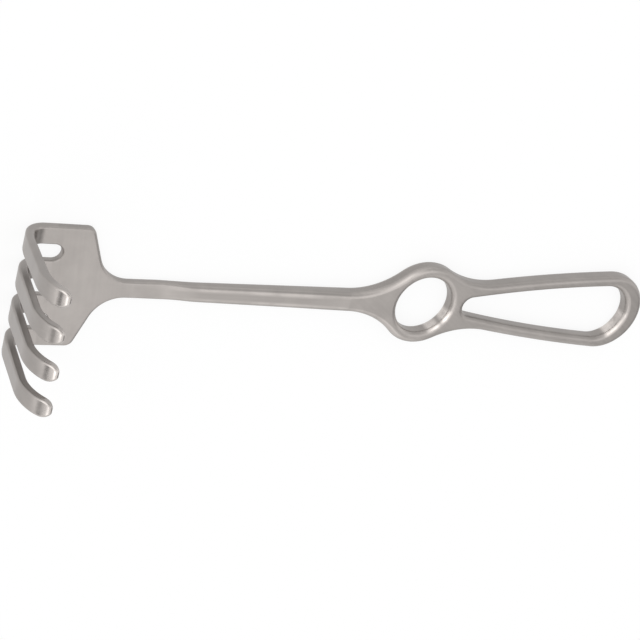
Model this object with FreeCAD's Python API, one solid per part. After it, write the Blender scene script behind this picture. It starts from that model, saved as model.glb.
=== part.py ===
import FreeCAD, Part
import math
import os

from FreeCAD import Vector

# Rake retractor: one stainless forging, kept as its named regions, which meet face to face.
# +X runs from the rake to the handle, +Y across the prongs and +Z up the prongs.
# It lies on its flat back at Z = 0. The sizes are laid out from the centre of the finger ring,
# and the finished solids are moved so that X = 0 is the middle of the whole length.
# Millimetres and degrees.

# Rake plate
plate_thickness = 3.1
plate_length = 16.3            # flat, from the bend line back to the rear corners
plate_rear_angle = 21.0        # how far the rear edges slant away from square
plate_corner_round = 3.2
plate_edge_round = 0.7
plate_tang = 2.0               # straight stub that the neck grows from
ring_to_plate = 129.7          # ring centre to the rear corners

# Prongs
prong_count = 4
prong_pitch = 12.85
prong_width = 6.3
slot_root = 3.9                # straight run of the slots into the flat, before their round ends
prong_bend_radius = 7.5        # on the centreline, as the curl is
prong_bend_angle = 86.0
prong_rise = 23.5
prong_curl_radius = 19.0
prong_curl_angle = 42.0
prong_tip_run = 1.0

# Neck and shank
neck_width = 6.4
neck_blend_radius = 12.0
neck_sections = 7
scarf_share = 0.65             # share of the neck over which it thickens
ring_to_shank = 88.0           # ring centre to the front end of the shank
shank_front_width = 6.7
shank_front_thickness = 4.8
shank_front_round = 1.7
shank_rear_width = 7.6         # where it runs into the ring

# Finger ring
handle_thickness = 6.4
handle_edge_round = 2.1
ring_hole_radius = 11.2
ring_wall = 4.65
ring_front_blend = 30.0
ring_rear_blend = 34.0

# Handle loop
waist_width = 19.1
bridge_wall = 5.7              # between the ring's hole and the loop's
ring_to_loop_end = 81.6        # ring centre to the centre of the loop's round end
loop_end_wall = 7.1
loop_side_bow = 600.0          # radius of the slightly bowed sides
loop_hole_bow = 500.0
loop_hole_tip_radius = 3.8
loop_hole_end_radius = 11.1

# What these sizes give
plate_half_width = ((prong_count - 1) * prong_pitch + prong_width) / 2
slot_width = prong_pitch - prong_width
plate_rear_x = -ring_to_plate
slot_x = plate_rear_x - plate_length + slot_root
shank_x = -ring_to_shank
ring_radius = ring_hole_radius + ring_wall
loop_end_radius = ring_radius  # the loop's round end is as wide as the ring
bridge_x = ring_hole_radius + bridge_wall / 2
loop_end_x = ring_to_loop_end + loop_end_radius

origin = Vector(0, 0, 0)
along = Vector(1, 0, 0)
across = Vector(0, 1, 0)
up = Vector(0, 0, 1)
WALL_SHARE = 0.46              # the most of a wall that one rounded edge may take


def line(start, end):
    return Part.LineSegment(start, end).toShape()


def towards(centre, target, radius):
    """The point of the circle round centre that lies towards target."""
    step = target - centre
    step.Length = radius
    return centre + step


def arc(centre, start, end):
    """The short arc from start to end round a centre."""
    middle = towards(centre, start + end - centre, (start - centre).Length)
    return Part.Arc(start, middle, end).toShape()


def rounded_run(corners):
    """Straight edges through (point, radius) corners, each but the first and last rounded."""
    edges = []
    pen = corners[0][0]
    for (before, _), (corner, radius), (after, _) in zip(corners, corners[1:], corners[2:]):
        half_angle = (before - corner).getAngle(after - corner) / 2
        start = towards(corner, before, radius / math.tan(half_angle))
        end = towards(corner, after, radius / math.tan(half_angle))
        centre = towards(corner, start + end - corner, radius / math.sin(half_angle))
        edges += [line(pen, start), arc(centre, start, end)]
        pen = end
    edges.append(line(pen, corners[-1][0]))
    return edges


def closed_face(half_outline):
    """The flat face whose +Y half outline starts and ends on the X axis."""
    edges = half_outline + [edge.mirror(origin, across) for edge in half_outline]
    return Part.Face(Part.Wire(Part.__sortEdges__(edges)))


def in_plane(edge, direction, place):
    """Whether an edge's ends all lie at one place along a direction."""
    return all(abs(vertex.Point.dot(direction) - place) < 1e-6 for vertex in edge.Vertexes)


def round_edges(solid, radius, direction, places, butt_planes):
    """Round the edges at some places along a direction, apart from those of the butt faces."""
    edges = [edge for edge in solid.Edges
             if any(in_plane(edge, direction, place) for place in places)
             and not any(in_plane(edge, along, x) for x in butt_planes)]
    return solid.makeFillet(radius, edges)


def slot_centres():
    """The Y of each slot, between its two prongs."""
    return [(gap - (prong_count - 2) / 2) * prong_pitch for gap in range(prong_count - 1)]


def prong_centres():
    return [((prong_count - 1) / 2 - index) * prong_pitch for index in range(prong_count)]


def neck_start_x():
    """The end of the plate's stub, past the hollow where the rear edges run into the neck."""
    run = plate_half_width - neck_width / 2
    turn = math.radians(90 - plate_rear_angle)
    crossing = plate_rear_x + run * math.tan(math.radians(plate_rear_angle))
    return crossing + neck_blend_radius * math.tan(turn / 2) + plate_tang


def plate_round():
    return min(plate_edge_round, WALL_SHARE * plate_thickness)


def rake_plate():
    """The flat blade behind the prongs, with the round ends of the slots cut into its front."""
    half_neck = neck_width / 2
    run = plate_half_width - half_neck
    crossing = plate_rear_x + run * math.tan(math.radians(plate_rear_angle))
    end_x = neck_start_x()
    half = [line(Vector(slot_x, 0, 0), Vector(slot_x, plate_half_width, 0))]
    half += rounded_run([
        (Vector(slot_x, plate_half_width, 0), 0),
        (Vector(plate_rear_x, plate_half_width, 0), plate_corner_round),
        (Vector(crossing, half_neck, 0), neck_blend_radius),
        (Vector(end_x, half_neck, 0), 0)])
    half.append(line(Vector(end_x, half_neck, 0), Vector(end_x, 0, 0)))
    plate = closed_face(half).extrude(up * plate_thickness)
    for y in slot_centres():
        plate = plate.cut(Part.makeCylinder(slot_width / 2, plate_thickness, Vector(slot_x, y, 0)))
    plate = plate.removeSplitter()
    return round_edges(plate, plate_round(), up, (0, plate_thickness), (slot_x, end_x))


def outward(heading):
    """Square to a heading in the XZ plane, on the side that becomes the prong's back."""
    return Vector(-math.sin(heading), 0, math.cos(heading))


def prong_side_view():
    """A strip of plate that turns up, rises, curls back over the plate and ends half round."""
    half = plate_thickness / 2
    pen = Vector(slot_x, 0, half)
    heading = math.pi
    root = line(pen + outward(heading) * half, pen - outward(heading) * half)
    edges = [root]
    runs = ((slot_root, 0), (prong_bend_radius, prong_bend_angle), (prong_rise, 0),
            (prong_curl_radius, prong_curl_angle), (prong_tip_run, 0))
    for size, angle in runs:
        side = outward(heading)
        if angle:
            centre = pen - side * size
            heading -= math.radians(angle)
            for radius in (size - half, size + half):
                edges.append(arc(centre, centre + side * radius, centre + outward(heading) * radius))
            pen = centre + outward(heading) * size
        else:
            end = pen + Vector(math.cos(heading), 0, math.sin(heading)) * size
            edges += [line(pen + side * half, end + side * half), line(pen - side * half, end - side * half)]
            pen = end
    side = outward(heading)
    nose = pen + Vector(math.cos(heading), 0, math.sin(heading)) * half
    edges.append(Part.Arc(pen + side * half, nose, pen - side * half).toShape())
    return Part.Face(Part.Wire(Part.__sortEdges__(edges)))


def prong(y):
    """One blunt prong, centred at y."""
    face = prong_side_view()
    face.translate(across * (y - prong_width / 2))
    body = face.extrude(across * prong_width)
    sides = (y - prong_width / 2, y + prong_width / 2)
    return round_edges(body, plate_round(), across, sides, (slot_x,))


def bar_section(x, width, thickness, corner_round):
    """A rounded rectangle square to X, standing on Z = 0."""
    edge_round = min(corner_round, WALL_SHARE * width, WALL_SHARE * thickness)
    y, low, high = width / 2 - edge_round, edge_round, thickness - edge_round
    centres = [Vector(x, y, low), Vector(x, y, high), Vector(x, -y, high), Vector(x, -y, low)]
    edges = []
    for quarter, centre in enumerate(centres):
        reach = [Vector(0, math.cos(turn), math.sin(turn)) * edge_round
                 for turn in ((quarter - 1) * math.pi / 2, quarter * math.pi / 2)]
        following = centres[(quarter + 1) % 4]
        edges.append(arc(centre, centre + reach[0], centre + reach[1]))
        edges.append(line(centre + reach[1], following + reach[1]))
    return Part.Wire(edges)


def neck():
    """The bar that thickens from the plate's stub into the shank, all of it on the front."""
    start = neck_start_x()
    sections = []
    for index in range(neck_sections):
        share = index / (neck_sections - 1)
        climb = max(0, (share - 1 + scarf_share) / scarf_share)
        ease = (1 - math.cos(math.pi * climb)) / 2
        sections.append(bar_section(
            start + (shank_x - start) * share,
            neck_width + (shank_front_width - neck_width) * ease,
            plate_thickness + (shank_front_thickness - plate_thickness) * ease,
            plate_round() + (shank_front_round - plate_round()) * ease))
    return Part.makeLoft(sections, True, False)


def ring_front_centre():
    """The centre of the hollow where the shank's side runs into the ring."""
    y = shank_rear_width / 2 + ring_front_blend
    return Vector(-math.sqrt((ring_radius + ring_front_blend) ** 2 - y ** 2), y, 0)


def meeting_centre(first, first_distance, second, second_distance):
    """The point at given distances from two points, on the right of the way between them."""
    way = second - first
    share = (way.Length ** 2 + first_distance ** 2 - second_distance ** 2) / (2 * way.Length)
    aside = math.sqrt(first_distance ** 2 - share ** 2)
    way.normalize()
    return first + way * share + Vector(way.y, -way.x, 0) * aside


def handle_outline():
    """Half the outer line of the handle: round the ring, in to the waist and out round the loop."""
    front = ring_front_centre()
    rear_y = waist_width / 2 + ring_rear_blend
    rear = Vector(math.sqrt((ring_radius + ring_rear_blend) ** 2 - rear_y ** 2), rear_y, 0)
    end = Vector(ring_to_loop_end, 0, 0)
    bow = meeting_centre(rear, loop_side_bow + ring_rear_blend, end, loop_side_bow - loop_end_radius)
    shank_side = Vector(front.x, shank_rear_width / 2, 0)
    ring_front = towards(origin, front, ring_radius)
    ring_rear = towards(origin, rear, ring_radius)
    waist = towards(bow, rear, loop_side_bow)
    shoulder = towards(bow, end, loop_side_bow)
    return [line(Vector(front.x, 0, 0), shank_side),
            arc(front, shank_side, ring_front),
            arc(origin, ring_front, ring_rear),
            arc(rear, ring_rear, waist),
            arc(bow, waist, shoulder),
            arc(end, shoulder, Vector(loop_end_x, 0, 0))]


def loop_hole_outline():
    """Half the teardrop opening of the loop, narrow next to the ring."""
    tip_x = ring_hole_radius + bridge_wall
    end_x = loop_end_x - loop_end_wall
    tip = Vector(tip_x + loop_hole_tip_radius, 0, 0)
    end = Vector(end_x - loop_hole_end_radius, 0, 0)
    bow = meeting_centre(tip, loop_hole_bow - loop_hole_tip_radius,
                         end, loop_hole_bow - loop_hole_end_radius)
    leave = towards(bow, tip, loop_hole_bow)
    arrive = towards(bow, end, loop_hole_bow)
    return [arc(tip, Vector(tip_x, 0, 0), leave),
            arc(bow, leave, arrive),
            arc(end, arrive, Vector(end_x, 0, 0))]


def handle():
    """The finger ring and the loop in one, with every rim rounded."""
    outline = closed_face(handle_outline())
    loop_hole = closed_face(loop_hole_outline())
    ring_hole = Part.Face(Part.Wire(Part.makeCircle(ring_hole_radius)))
    wall = min(hole.distToShape(outline.OuterWire)[0] for hole in (loop_hole, ring_hole))
    plan = outline.cut(loop_hole).cut(ring_hole)
    body = plan.extrude(up * handle_thickness).removeSplitter()
    rim = min(handle_edge_round, WALL_SHARE * wall, WALL_SHARE * bridge_wall,
              WALL_SHARE * handle_thickness)
    return round_edges(body, rim, up, (0, handle_thickness), (ring_front_centre().x,))


def between(solid, low_x, high_x):
    """The stretch of a solid between two planes square to X."""
    reach = ring_radius + loop_end_radius
    box = Part.makeBox(high_x - low_x, 2 * reach, handle_thickness, Vector(low_x, -reach, 0))
    return solid.common(box)


def shank():
    """The straight bar between neck and ring, a little wider and thicker towards the ring."""
    front = bar_section(shank_x, shank_front_width, shank_front_thickness, shank_front_round)
    rear = bar_section(ring_front_centre().x, shank_rear_width, handle_thickness, handle_edge_round)
    return Part.makeLoft([front, rear], True, True)


def build():
    """Every node of the retractor by name, still laid out from the ring's centre."""
    grip = handle()
    nodes = {"rake_plate": rake_plate()}
    for index, y in enumerate(prong_centres()):
        nodes["prong_%d" % (index + 1)] = prong(y)
    nodes["neck"] = neck()
    nodes["shank"] = shank()
    nodes["finger_ring"] = between(grip, ring_front_centre().x, bridge_x)
    nodes["handle_loop"] = between(grip, bridge_x, loop_end_x)
    return nodes


os.makedirs("parts", exist_ok=True)
pieces = build()
front_x = prong_side_view().BoundBox.XMin
middle = along * ((front_x + loop_end_x) / 2)
for name, shape in pieces.items():
    shape.translate(middle * -1)
    shape.exportStep("parts/%s.step" % name)
    box = shape.BoundBox
    print("%-12s valid %s solids %d volume %8.1f  X %.2f to %.2f  Y %.2f to %.2f  Z %.2f to %.2f" % (
        name, shape.isValid(), len(shape.Solids), shape.Volume,
        box.XMin, box.XMax, box.YMin, box.YMax, box.ZMin, box.ZMax))
print("overall length %.2f" % (loop_end_x - front_x))
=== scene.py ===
import math

import bmesh
import bpy
from mathutils import Matrix, Vector


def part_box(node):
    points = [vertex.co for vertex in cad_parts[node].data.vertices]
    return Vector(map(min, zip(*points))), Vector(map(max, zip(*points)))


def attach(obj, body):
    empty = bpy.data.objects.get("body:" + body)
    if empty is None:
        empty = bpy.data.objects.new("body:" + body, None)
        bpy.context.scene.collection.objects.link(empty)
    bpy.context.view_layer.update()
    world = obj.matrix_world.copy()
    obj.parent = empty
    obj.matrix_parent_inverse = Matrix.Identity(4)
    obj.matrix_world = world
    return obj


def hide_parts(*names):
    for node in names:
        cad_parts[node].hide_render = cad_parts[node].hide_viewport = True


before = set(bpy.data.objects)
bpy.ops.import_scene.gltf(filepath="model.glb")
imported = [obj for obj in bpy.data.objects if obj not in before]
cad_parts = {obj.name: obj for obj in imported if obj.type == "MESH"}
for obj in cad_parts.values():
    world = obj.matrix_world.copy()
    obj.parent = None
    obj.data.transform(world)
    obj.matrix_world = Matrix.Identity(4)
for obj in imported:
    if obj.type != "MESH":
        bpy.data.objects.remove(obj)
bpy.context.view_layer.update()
mm = 0.001


# Camera: high over the rake's end of the table and a little to its left, rolled so that the
# tool lies level across the picture.
camera_place = Vector((-286.55, 257.65, 468.57)) * mm
camera_turn = (math.radians(-33.458), math.radians(-22.472), math.radians(16.069))
camera_lens = 95.12

camera_data = bpy.data.cameras.new("table_camera")
camera_data.sensor_width = 36.0
camera_data.lens = camera_lens
camera_data.clip_start = 0.01
camera_data.clip_end = 20.0
camera = bpy.data.objects.new("table_camera", camera_data)
camera.location = camera_place
camera.rotation_euler = camera_turn
bpy.context.scene.collection.objects.link(camera)
bpy.context.scene.camera = camera
bpy.context.scene.view_settings.view_transform = "Standard"


# Table: one large sheet of white board that the retractor lies on. It shows white to the
# camera and in the steel, and keeps a weak soft shadow of the tool.
table_size = 6.0
table_colour = (0.74, 0.74, 0.74, 1.0)
table_white_share = 0.88


def feed(tree, socket, value):
    """Link a node's socket to another node's output, or set it to a plain value."""
    if isinstance(value, bpy.types.NodeSocket):
        tree.links.new(value, socket)
    else:
        socket.default_value = value


def maths(tree, operation, *values):
    """The output of a Math node that is fed with outputs and numbers."""
    node = tree.nodes.new("ShaderNodeMath")
    node.operation = operation
    for socket, value in zip(node.inputs, values):
        feed(tree, socket, value)
    return node.outputs[0]


bm = bmesh.new()
bmesh.ops.create_grid(bm, x_segments=1, y_segments=1, size=table_size / 2)
table_mesh = bpy.data.meshes.new("table")
bm.to_mesh(table_mesh)
bm.free()
table = bpy.data.objects.new("table", table_mesh)
bpy.context.scene.collection.objects.link(table)

table_paint = bpy.data.materials.new("white_board")
table_paint.use_nodes = True
tree = table_paint.node_tree
tree.nodes.clear()
board = tree.nodes.new("ShaderNodeBsdfDiffuse")
board.inputs["Color"].default_value = table_colour
white = tree.nodes.new("ShaderNodeEmission")
white.inputs["Color"].default_value = (1.0, 1.0, 1.0, 1.0)
white.inputs["Strength"].default_value = 1.0
ray = tree.nodes.new("ShaderNodeLightPath").outputs
seen = maths(tree, "MAXIMUM", ray["Is Camera Ray"], ray["Is Glossy Ray"])
seen_through = maths(tree, "MAXIMUM", seen, ray["Is Transmission Ray"])
mix = tree.nodes.new("ShaderNodeMixShader")
feed(tree, mix.inputs["Fac"], maths(tree, "MULTIPLY", seen_through, table_white_share))
feed(tree, mix.inputs[1], board.outputs["BSDF"])
feed(tree, mix.inputs[2], white.outputs["Emission"])
out = tree.nodes.new("ShaderNodeOutputMaterial")
feed(tree, out.inputs["Surface"], mix.outputs[0])
table_mesh.materials.append(table_paint)


# Light: a pale studio tent with brighter glows and darker folds, and two soft boxes. The glows
# and the folds draw the light and dark bands in the steel.
tent_grey = 1.23
tent_patches = [                          # name, direction, half angle in degrees, gain
    ("glow_over_camera", (-0.50, 0.30, 0.80), 42.0, 0.62),
    ("glow_over_plate", (0.25, -0.45, 0.86), 20.0, 0.18),
    ("glow_right", (0.42, -0.74, 0.52), 18.0, 0.42),
    ("glow_left_low", (-0.90, -0.43, 0.02), 22.0, 0.50),
    ("glow_left_high", (-0.30, -0.46, 0.84), 15.0, 1.60),
    ("fold_left", (-0.83, -0.44, 0.33), 16.0, -1.15),
    ("fold_behind_rake", (0.465, 0.64, 0.61), 34.0, -0.48),
    ("fold_right", (0.75, -0.36, 0.56), 24.0, -0.72),
    ("fold_right_low", (0.55, -0.80, 0.25), 28.0, -0.35),
    ("fold_far_right", (0.90, -0.42, 0.10), 34.0, -0.50),
]
light_reach = 1.6
soft_boxes = [                            # name, direction, width, height, power
    ("box_over_rake", (-0.55, 0.35, 0.80), 1.4, 1.4, 2.0),
    ("box_over_ring", (0.40, 0.22, 0.90), 0.9, 0.7, 0.6),
]


def ranged(tree, value, low, high, low_result, high_result, way="LINEAR"):
    """A value carried from one range to another by a Map Range node."""
    node = tree.nodes.new("ShaderNodeMapRange")
    node.interpolation_type = way
    for title, given in (("Value", value), ("From Min", low), ("From Max", high),
                         ("To Min", low_result), ("To Max", high_result)):
        feed(tree, node.inputs[title], given)
    return node.outputs["Result"]


world = bpy.data.worlds.new("studio_tent")
world.use_nodes = True
tree = world.node_tree
sky_way = tree.nodes.new("ShaderNodeTexCoord").outputs["Generated"]
brightness = tent_grey
for name, direction, half_angle, gain in tent_patches:
    facing = tree.nodes.new("ShaderNodeVectorMath")
    facing.label = name
    facing.operation = "DOT_PRODUCT"
    facing.inputs[1].default_value = Vector(direction).normalized()
    feed(tree, facing.inputs[0], sky_way)
    patch = ranged(tree, facing.outputs["Value"], math.cos(math.radians(half_angle)), 1.0,
                   0.0, gain, "SMOOTHSTEP")
    brightness = maths(tree, "ADD", brightness, patch)
background = tree.nodes["Background"]
background.inputs["Color"].default_value = (1.0, 1.0, 1.0, 1.0)
feed(tree, background.inputs["Strength"], brightness)
bpy.context.scene.world = world

for name, direction, width, height, power in soft_boxes:
    lamp = bpy.data.lights.new(name, "AREA")
    lamp.shape = "RECTANGLE"
    lamp.size = width
    lamp.size_y = height
    lamp.energy = power
    holder = bpy.data.objects.new(name, lamp)
    away = Vector(direction).normalized()
    holder.location = away * light_reach
    holder.rotation_euler = away.to_track_quat("Z", "Y").to_euler()
    bpy.context.scene.collection.objects.link(holder)


# Rake plate: the flat blade of the forging with the milled round ends of three slots in its
# front edge, rear edges swept into a straight stub, and rims eased by hand. Bead blasted, then
# brushed lightly across.
plate_low, plate_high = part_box("rake_plate")
plate_thickness = plate_high.z
plate_half_width = plate_high.y
plate_flat = 12.4 * mm                    # from the prongs back to the rear corners
plate_rear_angle = math.radians(21.0)
plate_corner_round = 3.2 * mm
plate_corner_steps = 12
neck_blend_round = 12.0 * mm
neck_blend_steps = 28
half_neck = 3.2 * mm
rim_round = 0.8 * mm
front_rim_round = 1.15 * mm               # of the plate's outer front rims, rolled over more
rim_steps = 6
prong_count = 4
prong_pitch = 12.85 * mm
slot_radius = 2.925 * mm
steel_colour = (0.365, 0.340, 0.323)
pit_scale = 5200.0                        # of the bead-blast grain; the larger, the finer
line_scale = 6500.0
cloud_scale = 105.0
streak_scale = 900.0
line_squeeze = 0.035                      # of the pattern along X, which draws the lines out
grain_strength = 0.35
polish_calm = 0.75                        # share of the grain that full polish takes away
noise_ends = (0.3, 0.7)                   # between which most of a pattern's values lie
cloud_tones = (0.93, 1.05)
streak_tones = (0.965, 1.03)
wear_and_sheen_clouds = (0.38, 0.56)                # clouds over which the wear and its painted sheen come in
wear_and_sheen_shares = (0.45, 1.1)                 # and how much of it shows at either end
dull_streaks = (0.25, 0.75)
dull_spread = 0.03                        # of the roughness, either way along the streaks
shaded_wall_facing = (0.45, 0.92)                # sideways part of its facing that gets the painted side shade
usual_rub = 0.5                           # of a tight rim
rub_start = 0.2                           # skin's turn per millimetre where rubbing begins
rub_range = 0.8                           # and the further turn that brings it to the full
rim_turn = 0.5                            # least turn, in radians, of an edge that gets a rim
crisp_turn = 0.9                          # turn past which an edge is shaded crisp
butt_turn = 1.0                           # turn past which an edge is a butt, never rubbed
same_place = 0.001 * mm                   # points closer than this are one point
weld_reach = 0.002 * mm
hair = 0.01 * mm                          # a length too small to be seen


def swing(bm, pen, centre, goal, steps):
    """Carry a vertex round a centre to a goal, leaving an arc of edges. Gives the last vertex."""
    start, end = pen.co - centre, goal - centre
    angle = math.atan2(start.x * end.y - start.y * end.x, start.x * end.x + start.y * end.y)
    made = bmesh.ops.spin(bm, geom=[pen], cent=centre, axis=(0, 0, 1), angle=angle, steps=steps,
                          use_duplicate=False)
    return [item for item in made["geom_last"] if isinstance(item, bmesh.types.BMVert)][0]


def rounded_outline(bm, corners):
    """Closed line in the XY plane through (x, y, radius, steps) corners, rounded by spins."""
    first = pen = None
    points = [Vector((x, y, 0.0)) for x, y, radius, steps in corners]
    for index, (x, y, radius, steps) in enumerate(corners):
        corner = points[index]
        back = (points[index - 1] - corner).normalized()
        onward = (points[(index + 1) % len(points)] - corner).normalized()
        if radius:
            half_angle = back.angle(onward) / 2
            leg = radius / math.tan(half_angle)
            centre = corner + (back + onward).normalized() * radius / math.sin(half_angle)
            begin = bm.verts.new(corner + back * leg)
            finish = swing(bm, begin, centre, corner + onward * leg, steps)
        else:
            begin = finish = bm.verts.new(corner)
        if pen:
            bm.edges.new((pen, begin))
        first = first or begin
        pen = finish
    bm.edges.new((pen, first))
    bmesh.ops.remove_doubles(bm, verts=bm.verts, dist=same_place)


def flat_rim_edges(bm, heights, kept_out):
    """Edges lying in one of the given Z planes, apart from those in the butts square to X."""
    found = []
    for edge in bm.edges:
        ends = [vert.co for vert in edge.verts]
        on_face = any(all(abs(co.z - z) < same_place for co in ends) for z in heights)
        on_butt = any(all(abs(co.x - x) < same_place for co in ends) for x in kept_out)
        if on_face and not on_butt and len(edge.link_faces) == 2:
            if edge.calc_face_angle() > rim_turn:
                found.append(edge)
    return found


def wear_and_sheen_layer(bm):
    """The attribute of a mesh that tells where its steel is polished bright by wear, and where
    highlight or shade is painted on it.
    """
    return bm.verts.layers.float.get("wear_and_sheen") or bm.verts.layers.float.new("wear_and_sheen")


def rub_strength(vert):
    """How sharply the skin turns at a vertex, from 0 on a flat to 1 on a tight rim."""
    tightest = 0.0
    for edge in vert.link_edges:
        if len(edge.link_faces) == 2:
            near, far = edge.link_faces
            turn = edge.calc_face_angle(0.0)
            if turn < butt_turn:
                apart = (near.calc_center_median() - far.calc_center_median()).length
                tightest = max(tightest, turn / max(apart, same_place) * mm)
    return min(1.0, max(0.0, (tightest - rub_start) / rub_range))


def polish_and_painted_light(bm, strength):
    """Mark what is polished bright or given painted highlight, up to 1, or given painted shade and
    more roughness, below 0.
    """
    rub = wear_and_sheen_layer(bm)
    for vert in bm.verts:
        vert[rub] = min(1.0, strength(vert.co))


def steel_piece(bm, name, material, rim_rub_and_highlight=lambda place: usual_rub):
    """Make a bmesh a finished steel piece, with crisp butt edges and its rims polished bright by
    wear, which on the ring's shank side is a painted highlight.
    """
    bmesh.ops.remove_doubles(bm, verts=bm.verts, dist=weld_reach)
    bmesh.ops.recalc_face_normals(bm, faces=bm.faces)
    rub = wear_and_sheen_layer(bm)
    for vert in bm.verts:
        vert[rub] = min(1.0, vert[rub] + rim_rub_and_highlight(vert.co) * rub_strength(vert))
    for face in bm.faces:
        face.smooth = True
    for edge in bm.edges:
        edge.smooth = edge.calc_face_angle(0.0) < crisp_turn
    mesh = bpy.data.meshes.new(name)
    bm.to_mesh(mesh)
    bm.free()
    piece = bpy.data.objects.new(name, mesh)
    bpy.context.scene.collection.objects.link(piece)
    weighted = piece.modifiers.new("even_normals", "WEIGHTED_NORMAL")
    weighted.mode = "FACE_AREA"
    weighted.keep_sharp = True
    mesh.materials.append(material)
    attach(piece, "root")
    return piece


def new_group(name, givens, results):
    """A shader node group, with the outputs of its input node and the inputs of its output."""
    group = bpy.data.node_groups.new(name, "ShaderNodeTree")
    for title, kind in givens:
        group.interface.new_socket(name=title, in_out="INPUT", socket_type=kind)
    for title in results:
        group.interface.new_socket(name=title, in_out="OUTPUT", socket_type="NodeSocketFloat")
    given = group.nodes.new("NodeGroupInput").outputs
    result = group.nodes.new("NodeGroupOutput").inputs
    return group, given, result


def noise(tree, place, scale, detail, roughness):
    """The value of a Noise Texture at a place."""
    node = tree.nodes.new("ShaderNodeTexNoise")
    for title, given in (("Vector", place), ("Scale", scale), ("Detail", detail),
                         ("Roughness", roughness)):
        feed(tree, node.inputs[title], given)
    return node.outputs["Fac"]


def bead_blast_group():
    """Fine dull grain with slow cloudy patches, as glass beads leave it."""
    group, given, result = new_group("bead_blast", [("Place", "NodeSocketVector"),
                                                    ("Grain Size", "NodeSocketFloat")],
                                     ["Height", "Clouds"])
    pits = noise(group, given["Place"], given["Grain Size"], detail=3.0, roughness=0.6)
    clouds = noise(group, given["Place"], cloud_scale, detail=4.0, roughness=0.55)
    feed(group, result["Height"], pits)
    feed(group, result["Clouds"], clouds)
    return group


def brush_lines_group():
    """Hair-fine lines along X, broken up along their length, as a fine belt leaves them."""
    group, given, result = new_group("brush_lines", [("Place", "NodeSocketVector"),
                                                     ("Line Density", "NodeSocketFloat")],
                                     ["Height", "Streaks"])
    squeezed = group.nodes.new("ShaderNodeVectorMath")
    squeezed.operation = "MULTIPLY"
    squeezed.inputs[1].default_value = (line_squeeze, 1.0, 1.0)
    feed(group, squeezed.inputs[0], given["Place"])
    drawn_out = squeezed.outputs[0]
    lines = noise(group, drawn_out, given["Line Density"], detail=4.0, roughness=0.7)
    streaks = noise(group, drawn_out, streak_scale, detail=3.0, roughness=0.5)
    feed(group, result["Height"], lines)
    feed(group, result["Streaks"], streaks)
    return group


def painted_side_shade_group():
    """Mask of painted shade on the walls that face across the tool, from 0 on the flats to 1 on the
    sides.
    """
    group, given, result = new_group("painted_side_shade", [("Facing", "NodeSocketVector")], ["Mask"])
    split = group.nodes.new("ShaderNodeSeparateXYZ")
    feed(group, split.inputs[0], given["Facing"])
    sideways = maths(group, "ABSOLUTE", split.outputs["Y"])
    mask = ranged(group, sideways, *shaded_wall_facing, 0.0, 1.0, "SMOOTHSTEP")
    feed(group, result["Mask"], mask)
    return group


bead_blast = bead_blast_group()
brush_lines = brush_lines_group()
painted_side_shade = painted_side_shade_group()


def placed_group(tree, group, givens):
    """The outputs of a node group placed in a material with its own values."""
    node = tree.nodes.new("ShaderNodeGroup")
    node.node_tree = group
    for title, given in givens.items():
        feed(tree, node.inputs[title], given)
    return node.outputs


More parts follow.
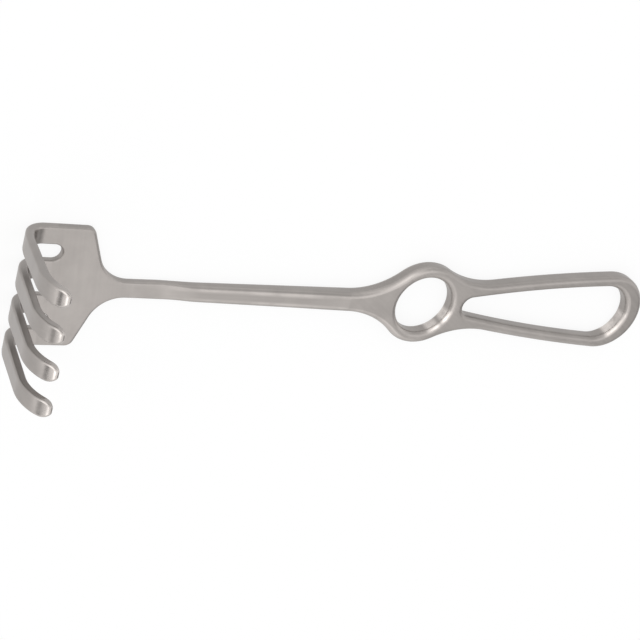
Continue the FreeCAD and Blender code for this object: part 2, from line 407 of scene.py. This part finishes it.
def satin_steel(name, roughness, grain_turn, brushed_share, grain_depth, rubbed_shine,
                wear_and_sheen_gain, side_painted_shade):
    """Satin stainless steel, blasted and brushed in a given share, brighter where polished by wear
    and where highlight is painted, with painted shade on the side walls.
    """
    material = bpy.data.materials.new(name)
    material.use_nodes = True
    tree = material.node_tree
    shader = tree.nodes["Principled BSDF"].inputs
    shader["Metallic"].default_value = 1.0

    place = tree.nodes.new("ShaderNodeTexCoord").outputs
    turned = tree.nodes.new("ShaderNodeMapping")
    turned.inputs["Rotation"].default_value = grain_turn
    feed(tree, turned.inputs["Vector"], place["Object"])
    along = turned.outputs["Vector"]
    blast = placed_group(tree, bead_blast, {"Place": along, "Grain Size": pit_scale})
    brush = placed_group(tree, brush_lines, {"Place": along, "Line Density": line_scale})
    side_shade = placed_group(tree, painted_side_shade, {"Facing": place["Normal"]})
    attribute = tree.nodes.new("ShaderNodeAttribute")
    attribute.attribute_name = "wear_and_sheen"
    wear_and_sheen = attribute.outputs["Fac"]

    # Grain: both kinds in their shares, calmer where the steel is polished.
    grain = tree.nodes.new("ShaderNodeMix")
    feed(tree, grain.inputs["Factor"], brushed_share)
    feed(tree, grain.inputs["A"], blast["Height"])
    feed(tree, grain.inputs["B"], brush["Height"])
    calm = maths(tree, "MULTIPLY_ADD", wear_and_sheen, -polish_calm, 1.0)
    bump = tree.nodes.new("ShaderNodeBump")
    bump.inputs["Strength"].default_value = grain_strength
    bump.inputs["Distance"].default_value = grain_depth
    feed(tree, bump.inputs["Height"], maths(tree, "MULTIPLY", grain.outputs["Result"], calm))
    feed(tree, shader["Normal"], bump.outputs["Normal"])

    # Tone: slow clouds and streaks, brighter in patches of wear and of painted highlight, and
    # darker on the side walls by painted shade.
    patches = ranged(tree, blast["Clouds"], *wear_and_sheen_clouds, *wear_and_sheen_shares)
    worn_and_sheen = maths(tree, "MULTIPLY", wear_and_sheen, patches)
    clouds = ranged(tree, blast["Clouds"], *noise_ends, *cloud_tones)
    streaks = ranged(tree, brush["Streaks"], *noise_ends, *streak_tones)
    # Painted highlight: the base colour is made brighter where the attribute marks wear and painted
    # sheen.
    brighter = maths(tree, "MULTIPLY_ADD", worn_and_sheen, wear_and_sheen_gain, 1.0)
    # Painted shade: the base colour is made darker on the side walls.
    darker = maths(tree, "MULTIPLY_ADD", side_shade["Mask"], -side_painted_shade, 1.0)
    lit = maths(tree, "MULTIPLY", maths(tree, "MULTIPLY", clouds, streaks), brighter)
    tinted = tree.nodes.new("ShaderNodeVectorMath")
    tinted.operation = "SCALE"
    tinted.inputs[0].default_value = steel_colour
    feed(tree, tinted.inputs["Scale"], maths(tree, "MULTIPLY", lit, darker))
    feed(tree, shader["Base Color"], tinted.outputs["Vector"])

    # Roughness: a little uneven with the streaks, and lower on the polished wear and on the marks
    # of painted sheen.
    uneven = ranged(tree, brush["Streaks"], *dull_streaks, roughness - dull_spread,
                    roughness + dull_spread)
    feed(tree, shader["Roughness"], maths(tree, "MULTIPLY_ADD", worn_and_sheen, -rubbed_shine, uneven))
    return material


slot_centres = [(index - (prong_count - 2) / 2) * prong_pitch for index in range(prong_count - 1)]
rear_x = plate_low.x + plate_flat
crossing_x = rear_x + (plate_half_width - half_neck) * math.tan(plate_rear_angle)
corners = [(plate_low.x, -plate_half_width, 0, 0),
           (rear_x, -plate_half_width, plate_corner_round, plate_corner_steps),
           (crossing_x, -half_neck, neck_blend_round, neck_blend_steps),
           (plate_high.x, -half_neck, 0, 0),
           (plate_high.x, half_neck, 0, 0),
           (crossing_x, half_neck, neck_blend_round, neck_blend_steps),
           (rear_x, plate_half_width, plate_corner_round, plate_corner_steps),
           (plate_low.x, plate_half_width, 0, 0)]
slot_root_x = plate_low.x + slot_radius
for y in reversed(slot_centres):
    corners += [(plate_low.x, y + slot_radius, 0, 0),
                (slot_root_x, y + slot_radius, slot_radius, plate_corner_steps),
                (slot_root_x, y - slot_radius, slot_radius, plate_corner_steps),
                (plate_low.x, y - slot_radius, 0, 0)]

bm = bmesh.new()
rounded_outline(bm, corners)
bmesh.ops.contextual_create(bm, geom=bm.edges)
raised = bmesh.ops.extrude_face_region(bm, geom=bm.faces)
bmesh.ops.translate(bm, vec=(0, 0, plate_thickness),
                    verts=[item for item in raised["geom"] if isinstance(item, bmesh.types.BMVert)])
bmesh.ops.recalc_face_normals(bm, faces=bm.faces)
rims = flat_rim_edges(bm, (0, plate_thickness), (plate_low.x, plate_high.x))
slots_end_x = plate_low.x + 2 * slot_radius
slots_end_y = slot_centres[-1] + slot_radius + hair
outer_front_rims = [edge for edge in rims if edge.verts[0].co.z > plate_thickness / 2
                    and (max(abs(vert.co.y) for vert in edge.verts) > slots_end_y
                         or max(vert.co.x for vert in edge.verts) > slots_end_x)]
other_rims = [edge for edge in rims if edge not in outer_front_rims]
for edges, rounding in ((other_rims, rim_round), (outer_front_rims, front_rim_round)):
    bmesh.ops.bevel(bm, geom=edges, offset=rounding, offset_type="OFFSET", segments=rim_steps,
                    profile=0.5, affect="EDGES", material=-1)
plate_steel = satin_steel("plate_steel", roughness=0.42, grain_turn=(0, 0, math.radians(84)),
                          brushed_share=0.35, grain_depth=0.02 * mm, rubbed_shine=0.05,
                          wear_and_sheen_gain=0.05, side_painted_shade=0.14)
rake_plate = steel_piece(bm, "rake_plate_blade", plate_steel)
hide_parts("rake_plate")


# Prongs: four like fingers of the plate, bent up square, curled back over it and ground round
# at their blunt tips, more from the outside. The flats are linished along their length.
prong_root = 3.9 * mm
prong_bend_round = 6.87 * mm
prong_bend = math.radians(70.0)
prong_ease_round = 22.0 * mm              # over which the bend runs out into the straight
prong_ease = math.radians(16.0)
prong_rise = 19.96 * mm
prong_curl_round = 19.0 * mm
prong_curl = math.radians(42.0)
prong_tip_runs = (0.1 * mm, 0.5 * mm, 1.35 * mm, 1.8 * mm)
prong_root_swell = 0.7 * mm               # extra width at the root, gone where the curl starts
nose_outside = 6.5 * mm                   # over which the outside rounds off to the tip
nose_inside = 1.7 * mm
nose_sink = 0.60 * mm                     # of the tip below the middle of the bar
nose_side = 3.6 * mm                      # over which the sides round off to the tip
nose_side_draw = 2.65 * mm
most_rim_share = 0.46                     # of the bar's thickness that a rim may take
nose_shine = 1.25                         # polish at the tip, gone this many noses further up
prong_rim_rub = 0.12


def add_loop(bm, loop):
    """Move a loop drawn by itself into a piece's mesh, and give its edges there."""
    drawn = bpy.data.meshes.new("loop")
    loop.to_mesh(drawn)
    loop.free()
    known = len(bm.edges)
    bm.from_mesh(drawn)
    bpy.data.meshes.remove(drawn)
    bm.edges.ensure_lookup_table()
    return bm.edges[known:]


def skin_between(bm, sections):
    """Bridge each section to the next and close both ends."""
    for first, second in zip(sections, sections[1:]):
        bmesh.ops.bridge_loops(bm, edges=first + second)
    bmesh.ops.contextual_create(bm, geom=sections[0])
    bmesh.ops.contextual_create(bm, geom=sections[-1])


def oval(left, length):
    """Share of the full size at a distance from the tip of an oval nose."""
    return math.sqrt(1 - max(0.0, 1 - left / length) ** 2)


def prong_stations(tip_run):
    """Places down the middle of a prong, each with its heading and what is left to the tip."""
    pen, heading = Vector((plate_low.x, 0, plate_thickness / 2)), math.pi
    nose_run = tip_run + plate_thickness / 2
    runs = ((prong_root, 0, 2), (prong_bend_round * prong_bend, prong_bend, 22),
            (prong_ease_round * prong_ease, prong_ease, 12), (prong_rise, 0, 10),
            (prong_curl_round * prong_curl, prong_curl, 40), (nose_run, 0, 14))
    left = sum(length for length, turn, steps in runs)
    stations = [(pen, heading, left)]
    for length, turn, steps in runs:
        start = pen
        for step in range(1, steps + 1):
            share = math.sin(math.pi / 2 * step / steps) if length == nose_run else step / steps
            if turn:
                inward = Vector((math.sin(heading), 0, -math.cos(heading)))
                centre = pen + inward * length / turn
                heading -= turn / steps
                pen = centre - Vector((math.sin(heading), 0, -math.cos(heading))) * length / turn
            else:
                pen = start + Vector((math.cos(heading), 0, math.sin(heading))) * length * share
            stations.append((pen, heading, max(left - length * share, hair)))
        left -= length
    return stations


def prong_section(bm, y, width, place, heading, left):
    """Rounded loop square to the heading, thinner and narrower inside the nose."""
    inside = (plate_thickness / 2 - nose_sink) * oval(left, nose_inside) + nose_sink
    outside = (plate_thickness / 2 + nose_sink) * oval(left, nose_outside) - nose_sink
    rootward = min(1.0, max(0.0, (left - prong_curl_round * prong_curl) / prong_rise))
    half = (width + prong_root_swell * rootward) / 2 - nose_side_draw * (1 - oval(left, nose_side))
    low = max(-half, -plate_half_width - y)
    high = min(half, plate_half_width - y)
    edge = min(rim_round, most_rim_share * (inside + outside))
    rolled = edge + (front_rim_round - rim_round) * rootward
    left_edge = rolled if y > prong_pitch else edge
    right_edge = rolled if y < -prong_pitch else edge
    loop = bmesh.new()
    rounded_outline(loop, [(low, -outside, edge, rim_steps), (high, -outside, edge, rim_steps),
                           (high, inside, left_edge, rim_steps),
                           (low, inside, right_edge, rim_steps)])
    turned = Matrix(((0, math.sin(heading), 0, place.x), (1, 0, 0, y),
                     (0, -math.cos(heading), 0, place.z), (0, 0, 0, 1)))
    bmesh.ops.transform(loop, matrix=turned, verts=loop.verts)
    return add_loop(bm, loop)


prong_steel = satin_steel("prong_steel", roughness=0.38, grain_turn=(0, math.radians(90), 0),
                          brushed_share=0.75, grain_depth=0.010 * mm, rubbed_shine=0.20,
                          wear_and_sheen_gain=0.32, side_painted_shade=0.12)
for index in range(prong_count):
    node = "prong_%d" % (index + 1)
    prong_low, prong_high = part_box(node)
    width = prong_high.y - prong_low.y
    bm = bmesh.new()
    sections = [prong_section(bm, prong_low.y + width / 2, width, *station)
                for station in prong_stations(prong_tip_runs[index])]
    skin_between(bm, sections)
    tip_corners = [vert.co for edge in sections[-1] for vert in edge.verts]
    tip = sum(tip_corners, Vector()) / len(tip_corners)
    polish_and_painted_light(bm, lambda place: max(0.0, nose_shine - (place - tip).length / nose_outside))
    prong = steel_piece(bm, node + "_finger", prong_steel, lambda place: prong_rim_rub)
    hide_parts(node)


# Neck: the stub behind the plate, drawn up on its front side into the thicker shank by a scarf
# that runs across it on a slant. Forged, then linished along its length.
neck_low, neck_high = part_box("neck")
shank_front_width = 6.7 * mm
shank_front_round = 1.9 * mm
neck_stations = 24
scarf_share = 0.62                        # share of the neck over which it thickens
scarf_lean = 0.7                          # its slant, which starts it nearer the rake on +Y
least_drop = 0.02 * mm                    # of a flat front, so that its edges still turn a little
front_drop = 0.50 * mm                    # how far the shank's front falls away to its sides
front_flat_share = 0.36                   # of its width that stays flat
flat_edge_round = 5.0 * mm
bar_round_steps = 10
shoulder_start = 1.3 * mm                 # of the shoulders with painted highlight, out from the middle line
shoulder_end = 2.9 * mm
shoulder_rise = 0.5 * mm                  # over which their painted highlight comes up from the flat
shoulder_fall = 0.6 * mm                  # and goes down again to the side
flat_painted_shade = 0.8                        # painted shade of the flat between them
neck_bands_start = 1 / 3                  # share of the neck past which the bands are painted


def bar_section(bm, x, width, height, back_round, front_round, drop, lean):
    """Loop across X on Z = 0 with round corners, a front that falls to its sides and a lean."""
    loop = bmesh.new()
    half, flat = width / 2, width / 2 * front_flat_share
    shoulder = height - drop
    rounded_outline(loop, [(-half, 0, back_round, bar_round_steps),
                           (half, 0, back_round, bar_round_steps),
                           (half, shoulder, front_round, bar_round_steps),
                           (flat, height, flat_edge_round, rim_steps),
                           (-flat, height, flat_edge_round, rim_steps),
                           (-half, shoulder, front_round, bar_round_steps)])
    turned = Matrix(((-lean, 0, 1, x), (1, 0, 0, 0), (0, 1, 0, 0), (0, 0, 0, 1)))
    bmesh.ops.transform(loop, matrix=turned, verts=loop.verts)
    return add_loop(bm, loop)


def between(first, second, share):
    """The value at a given share of the way from the first to the second."""
    return first + (second - first) * share


def eased(share):
    """A share that starts and ends slowly, kept between 0 and 1."""
    return (1 - math.cos(math.pi * min(1.0, max(0.0, share)))) / 2


def shoulder_painted_bands(place):
    """Painted highlight on the two soft shoulders of the bar's front, polished smoother there, and
    painted shade on a rougher flat between them.
    """
    aside = abs(place.y)
    if place.z < plate_thickness / 2 or aside > shoulder_end:
        return 0.0
    return max(-flat_painted_shade, min(1.0, (aside - shoulder_start) / shoulder_rise,
                                  (shoulder_end - aside) / shoulder_fall))


def neck_painted_bands(place):
    """The same painted bands, coming up along the neck."""
    share = (place.x - neck_low.x) / (neck_high.x - neck_low.x)
    return shoulder_painted_bands(place) * eased((share - neck_bands_start) / (1 - neck_bands_start))


bm = bmesh.new()
sections = []
for station in range(neck_stations + 1):
    share = station / neck_stations
    climb = eased((share - 1 + scarf_share) / scarf_share)
    sections.append(bar_section(
        bm,
        x=between(neck_low.x, neck_high.x, share),
        width=between(2 * half_neck, shank_front_width, share),
        height=between(plate_thickness, neck_high.z, climb),
        back_round=between(rim_round, shank_front_round, climb),
        front_round=between(front_rim_round, shank_front_round, climb),
        drop=least_drop + front_drop * climb,
        lean=scarf_lean * math.sin(math.pi * share)))
skin_between(bm, sections)
# Painted highlight on the front's shoulders and painted shade on its flat, coming up along the
# neck.
polish_and_painted_light(bm, neck_painted_bands)
neck_steel = satin_steel("neck_steel", roughness=0.37, grain_turn=(0, 0, 0), brushed_share=0.8,
                         grain_depth=0.013 * mm, rubbed_shine=0.05, wear_and_sheen_gain=0.13,
                         side_painted_shade=0.10)
neck = steel_piece(bm, "neck_bar", neck_steel)
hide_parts("neck")


# Shank: the straight bar that carries the pull from the ring to the rake, a little wider and
# thicker towards the ring. Linished along its length, with flat sides and a front that falls
# away softly to them until it runs into the ring's flat face.
shank_low, shank_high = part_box("shank")
shank_rear_width = 7.6 * mm
shank_rear_round = 2.05 * mm
shank_stations = 20
front_fade_start = 0.6                    # share of the shank past which its front goes flat

bm = bmesh.new()
sections = []
for station in range(shank_stations + 1):
    share = station / shank_stations
    fade = 1 - eased((share - front_fade_start) / (1 - front_fade_start))
    corner_round = between(shank_front_round, shank_rear_round, share)
    sections.append(bar_section(
        bm,
        x=between(shank_low.x, shank_high.x, share),
        width=between(shank_front_width, shank_rear_width, share),
        height=between(neck_high.z, shank_high.z, share),
        back_round=corner_round,
        front_round=corner_round,
        drop=least_drop + front_drop * fade,
        lean=0.0))
skin_between(bm, sections)
# Painted highlight on the front's shoulders and painted shade on its flat.
polish_and_painted_light(bm, shoulder_painted_bands)
shank_steel = satin_steel("shank_steel", roughness=0.36, grain_turn=(0, 0, 0), brushed_share=0.8,
                          grain_depth=0.013 * mm, rubbed_shine=0.05, wear_and_sheen_gain=0.13,
                          side_painted_shade=0.10)
shank = steel_piece(bm, "shank_bar", shank_steel)
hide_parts("shank")


# Finger ring and handle loop: one flat slab of the forging, drilled round for a finger and
# pierced by the long teardrop for the hand, with every rim rounded over by hand. The slab is
# drawn whole, then cut across the bridge between its two holes.
ring_low, ring_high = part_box("finger_ring")
loop_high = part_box("handle_loop")[1]
handle_thickness = ring_high.z
ring_radius = ring_high.y
ring_hole_radius = 11.2 * mm
ring_front_round = 30.0 * mm
ring_rear_round = 34.0 * mm
half_waist = 9.55 * mm
bridge_wall = 5.7 * mm
bridge_x = ring_high.x
loop_end_radius = loop_high.y
loop_end_wall = 7.1 * mm
loop_side_bow = 600.0 * mm
loop_hole_bow = 500.0 * mm
loop_hole_tip_radius = 3.8 * mm
loop_hole_end_radius = 11.1 * mm
handle_rim_round = 2.05 * mm
handle_rim_steps = 9
cut_reach = 0.0001 * mm                   # how far off a plane still counts as on it

half_shank = shank_rear_width / 2
ring_x = ring_low.x + math.sqrt((ring_radius + ring_front_round) ** 2
                                - (half_shank + ring_front_round) ** 2)
ring_centre = Vector((ring_x, 0, 0))
end_centre = Vector((loop_high.x - loop_end_radius, 0, 0))
front_centre = Vector((ring_low.x, half_shank + ring_front_round, 0))
rear_centre_y = half_waist + ring_rear_round
rear_centre = ring_centre + Vector((math.sqrt((ring_radius + ring_rear_round) ** 2
                                              - rear_centre_y ** 2), rear_centre_y, 0))
tip_x = ring_x + ring_hole_radius + bridge_wall
hole_tip = Vector((tip_x + loop_hole_tip_radius, 0, 0))
hole_end = Vector((loop_high.x - loop_end_wall - loop_hole_end_radius, 0, 0))


def meeting_centre(first, first_reach, second, second_reach):
    """The point at given distances from two points, on the right of the way between them."""
    way = second - first
    share = (way.length ** 2 + first_reach ** 2 - second_reach ** 2) / (2 * way.length)
    aside = math.sqrt(first_reach ** 2 - share ** 2)
    way.normalize()
    return first + way * share + Vector((way.y, -way.x, 0)) * aside


side_bow = meeting_centre(rear_centre, loop_side_bow + ring_rear_round,
                          end_centre, loop_side_bow - loop_end_radius)
hole_bow = meeting_centre(hole_tip, loop_hole_bow - loop_hole_tip_radius,
                          hole_end, loop_hole_bow - loop_hole_end_radius)


def from_centre(centre, other, radius):
    """The point at a radius from a centre, towards or through another point."""
    return centre + (other - centre).normalized() * radius


def mirrored_loop(bm, start, swings, z):
    """Closed loop at height z: a half line of (centre, goal, steps) arcs and its mirror."""
    loop = bmesh.new()
    pen = loop.verts.new(start)
    for centre, goal, steps in swings:
        if centre:
            pen = swing(loop, pen, centre, goal, steps)
        else:
            pen = bmesh.ops.extrude_vert_indiv(loop, verts=[pen])["verts"][0]
            pen.co = goal
    bmesh.ops.mirror(loop, geom=loop.verts[:] + loop.edges[:], matrix=Matrix.Identity(4),
                     axis="Y", merge_dist=same_place)
    bmesh.ops.translate(loop, verts=loop.verts, vec=(0, 0, z))
    return add_loop(bm, loop)


def outer_line(bm, inset, z):
    """The handle's outline, from the shank round the ring and the waist to the loop's end."""
    ring_part = ring_radius - inset
    bow = loop_side_bow - inset
    return mirrored_loop(bm, Vector((ring_low.x, 0, 0)), [
        (None, Vector((ring_low.x, half_shank - inset, 0)), 1),
        (front_centre, from_centre(ring_centre, front_centre, ring_part), 24),
        (ring_centre, from_centre(ring_centre, rear_centre, ring_part), 36),
        (rear_centre, from_centre(side_bow, rear_centre, bow), 24),
        (side_bow, from_centre(side_bow, end_centre, bow), 36),
        (end_centre, end_centre + Vector((loop_end_radius - inset, 0, 0)), 30)], z)


def ring_hole_line(bm, inset, z):
    """The finger's round hole, in four quarters."""
    reach = Vector((ring_hole_radius + inset, 0, 0))
    quarter = ring_centre + Vector((0, ring_hole_radius + inset, 0))
    return mirrored_loop(bm, ring_centre - reach, [
        (ring_centre, quarter, 48), (ring_centre, ring_centre + reach, 48)], z)


def loop_hole_line(bm, inset, z):
    """The hand's teardrop hole, from its narrow tip along the bowed side to its round end."""
    bow = loop_hole_bow + inset
    return mirrored_loop(bm, hole_tip - Vector((loop_hole_tip_radius + inset, 0, 0)), [
        (hole_tip, from_centre(hole_bow, hole_tip, bow), 30),
        (hole_bow, from_centre(hole_bow, hole_end, bow), 36),
        (hole_end, hole_end + Vector((loop_hole_end_radius + inset, 0, 0)), 40)], z)


# Painted glints on the walls of the holes.
painted_glint_spots = [                            # centre and radius of the hole, angle, half angle
    (ring_centre, ring_hole_radius, -22.0, 15.0),
    (ring_centre, ring_hole_radius, -54.0, 15.0),
    (hole_end, loop_hole_end_radius, -30.0, 32.0),
]
glint_fade = 9.0                           # degrees over which a painted glint's ends fade
glint_reach = 1.8 * mm                     # how far a painted glint runs out over the rim
glint_rim_fade = 1.0 * mm                  # over which it fades there
rim_highlight_end = 2.0 * mm                        # where the rims' painted highlight ends, past the ring's middle
rim_highlight_fade = 10.0 * mm                      # over which they fade towards that end


def hole_painted_glints(place):
    """Painted glints, with lower roughness, on the walls of the holes, in spots at an angle round
    each hole.
    """
    shine = 0.0
    for centre, radius, angle, half_angle in painted_glint_spots:
        arm = Vector((place.x, place.y, 0)) - centre
        if arm.length < radius + glint_reach:
            aim = Vector((math.cos(math.radians(angle)), math.sin(math.radians(angle)), 0))
            apart = math.degrees(arm.angle(aim))
            shine = max(shine, min(1.0, (half_angle - apart) / glint_fade)
                        * min(1.0, (radius + glint_reach - arm.length) / glint_rim_fade))
    return shine


def ring_rim_painted_highlight(place):
    """Rims made bright by a painted highlight on the shank's side of the ring only, fading out past
    its middle.
    """
    return usual_rub * min(1.0, max(0.0, (ring_x + rim_highlight_end - place.x) / rim_highlight_fade))


def handle_slab():
    """The whole handle: walls bridged up through the rim rounding, closed by flat faces."""
    bm = bmesh.new()
    levels = []
    for step in range(handle_rim_steps + 1):
        angle = math.pi / 2 * (1 - step / handle_rim_steps)
        levels.append((handle_rim_round * (1 - math.cos(angle)),
                       handle_rim_round * (1 - math.sin(angle))))
    levels += [(inset, handle_thickness - z) for inset, z in reversed(levels)]
    for draw in (outer_line, ring_hole_line, loop_hole_line):
        loops = [draw(bm, inset, z) for inset, z in levels]
        for first, second in zip(loops, loops[1:]):
            bmesh.ops.bridge_loops(bm, edges=first + second)
    for z in (0.0, handle_thickness):
        open_edges = [edge for edge in bm.edges if edge.is_boundary
                      and all(abs(vert.co.z - z) < cut_reach for vert in edge.verts)]
        bmesh.ops.triangle_fill(bm, edges=open_edges, use_beauty=True, use_dissolve=False)
    bmesh.ops.recalc_face_normals(bm, faces=bm.faces)
    # Painted glints in spots on the walls of the holes.
    polish_and_painted_light(bm, hole_painted_glints)
    return bm


slab = handle_slab()
for node, name, keep_low in (("finger_ring", "finger_ring_bow", True),
                             ("handle_loop", "handle_loop_bow", False)):
    bm = slab.copy()
    cut = bmesh.ops.bisect_plane(bm, geom=bm.verts[:] + bm.edges[:] + bm.faces[:],
                                 dist=cut_reach, plane_co=(bridge_x, 0, 0), plane_no=(1, 0, 0),
                                 clear_outer=keep_low, clear_inner=not keep_low)
    bmesh.ops.holes_fill(bm, edges=[item for item in cut["geom_cut"]
                                    if isinstance(item, bmesh.types.BMEdge)])
    handle_steel = satin_steel(node + "_steel", roughness=0.40,
                               grain_turn=(0, 0, math.radians(35)), brushed_share=0.55,
                               grain_depth=0.010 * mm, rubbed_shine=0.16, wear_and_sheen_gain=0.85,
                               side_painted_shade=0.10)
    # The rims on the ring's shank side get a painted highlight in their colour.
    piece = steel_piece(bm, name, handle_steel, ring_rim_painted_highlight)
    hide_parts(node)
slab.free()
